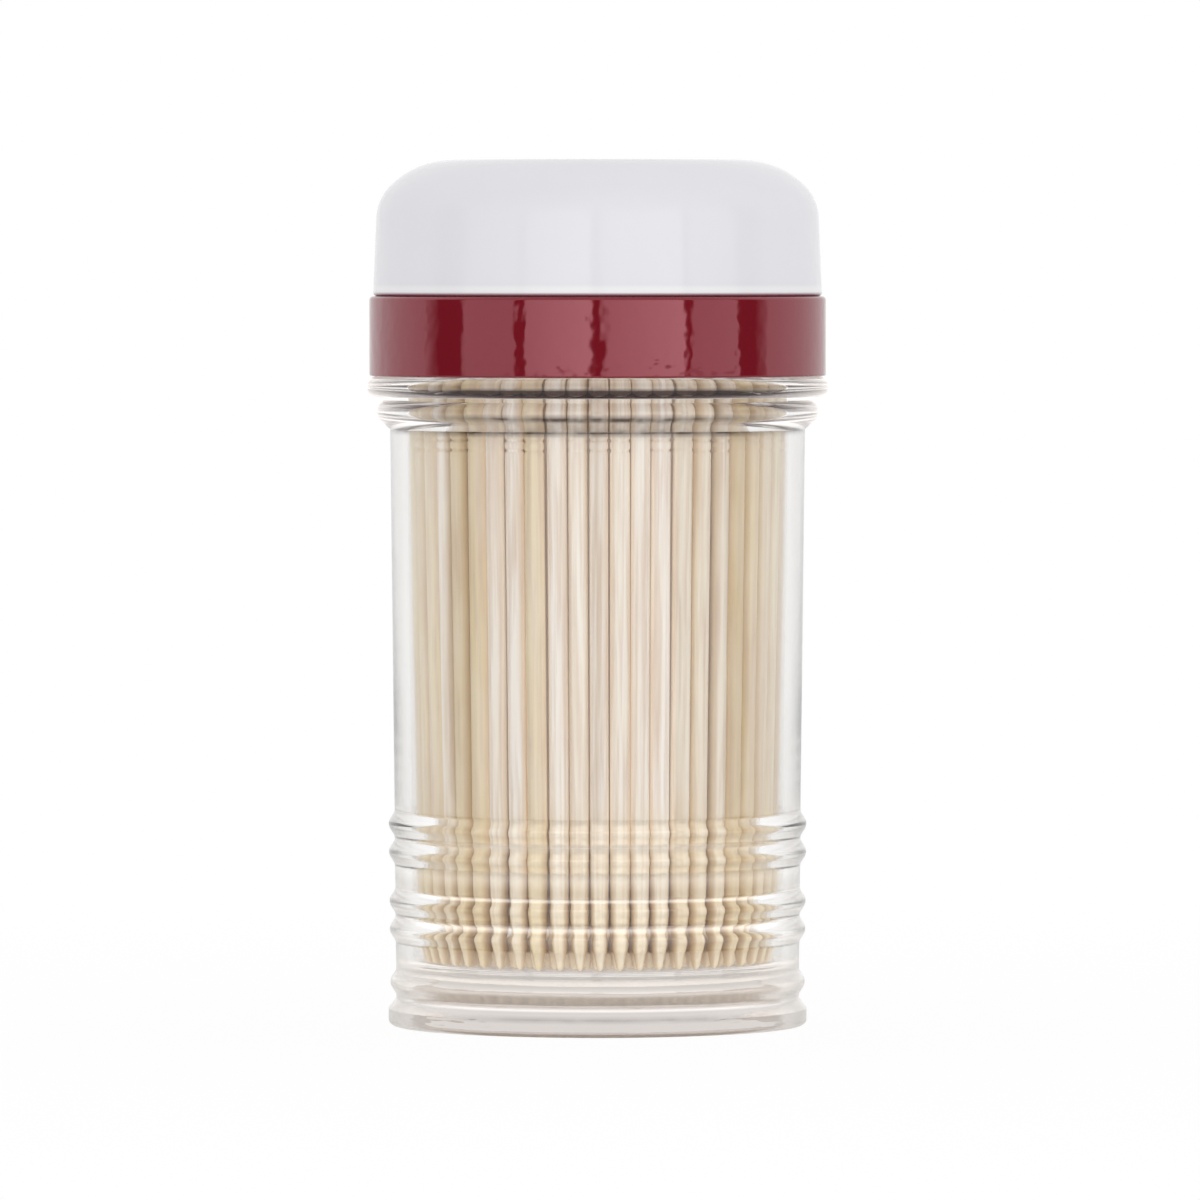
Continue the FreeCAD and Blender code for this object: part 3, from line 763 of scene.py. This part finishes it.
paper, wire = start_material("pale_paper")
from_jar = wire.add("NewGeometry", output="Position").length()
whitened = in_view(wire) * from_jar.ranged(*SHADOW_REACH, 1 - SHADOW_SHARE, 1)
grey = wire.add("BsdfDiffuse", {}, {"Color": from_jar.noise(30).between(*PAPER_GREYS)})
white = wire.add("Emission", {}, {"Color": WHITE, "Strength": 1.0})
wire.add("OutputMaterial", {}, {"Surface": wire.add("MixShader", {}, {0: whitened, 1: grey, 2: white})})

corners = []
for side in range(PAPER_SIDES):
    angle = 2 * math.pi * side / PAPER_SIDES
    corners.append((PAPER_RADIUS * math.cos(angle), PAPER_RADIUS * math.sin(angle), -PAPER_DROP))
mesh = bpy.data.meshes.new("paper")
mesh.from_pydata(corners, [], [range(PAPER_SIDES)])
table = bpy.data.objects.new("paper_sheet", mesh)
bpy.context.scene.collection.objects.link(table)
table.data.materials.append(paper)

# ======== Light and camera ========
# A white cloth tent: bright panels stand round the front with narrow dark gaps between them, the top and
# the sides are softer, and behind the jar is plain white.

# Each panel's left and right edge, in degrees round from the camera, and its level at both.
PANELS = (
    (-180, -96, 0.45, 0.45),
    (-72, -41.4, 0.48, 0.48),
    (-37.2, -3.3, 0.68, 1.0),
    (2.7, 44.6, 0.66, 1.0),
    (48.4, 75.4, 0.50, 0.57),
    (95.2, 180, 0.45, 0.45),
)
PANEL_EDGE = 0.6  # degrees to both sides of an edge over which the light fades out
PANEL_LEVEL = 2.2
GAP_LEVEL = 0.02
# Where a part of the tent comes or goes: how far up a direction points, from -1 to 1, or how far back.
PANEL_BOTTOM = (-0.28, -0.16)
PANEL_TOP = (0.30, 0.46)
CEILING = (0.3, 0.95)
CEILING_LEVELS = (0.80, 0.62)
BACK_EDGE = (-0.05, 0.15)
BACK_LEVEL = 0.95

world = bpy.data.worlds.new("tent")
bpy.context.scene.world = world
world.use_nodes = True
world.node_tree.nodes.clear()
wire = Wire(world.node_tree)
right, back, up = wire.add("TexCoord", output="Generated").parts()
stops = []
for start, end, first, last in PANELS:
    edges = (
        (start - PANEL_EDGE, GAP_LEVEL),
        (start + PANEL_EDGE, first),
        (end - PANEL_EDGE, last),
        (end + PANEL_EDGE, GAP_LEVEL),
    )
    stops += [(degrees / 360 + 0.5, level) for degrees, level in edges if -180 < degrees < 180]
turn = wire.math("ARCTAN2", right, back * -1.0) / (2 * math.pi) + 0.5
panels = wire.add("ValToRGB", {"stops": stops}, {0: turn})
panel_belt = up.ranged(*PANEL_BOTTOM, 0, 1) * up.ranged(*PANEL_TOP, 1, 0)
tent = panel_belt * panels * PANEL_LEVEL + (1 - panel_belt) * up.ranged(*CEILING, *CEILING_LEVELS)
front = back.ranged(*BACK_EDGE, 1, 0)
light = front * tent + (1 - front) * BACK_LEVEL
plain = in_view(wire)
light = plain + (1 - plain) * light
background = wire.add("Background", {}, {"Color": WHITE, "Strength": light})
wire.add("OutputWorld", {}, {"Surface": background})

VIEW_PLACE = (0.00028, -1.2955, 0.0885)
VIEW_DOWN = math.radians(1.74)
camera = bpy.data.cameras.new("camera")
camera.lens = 336
camera.sensor_width = 36
camera.clip_end = 20
viewer = bpy.data.objects.new("camera", camera)
viewer.location = VIEW_PLACE
viewer.rotation_euler = (math.pi / 2 - VIEW_DOWN, 0, 0)
bpy.context.scene.collection.objects.link(viewer)
bpy.context.scene.camera = viewer
bpy.context.scene.view_settings.view_transform = "Standard"
bpy.context.scene.cycles.blur_glossy = 0.0
bpy.context.scene.cycles.max_bounces = 32
bpy.context.scene.cycles.transmission_bounces = 32
bpy.context.scene.cycles.glossy_bounces = 16
bpy.context.scene.cycles.diffuse_bounces = 10
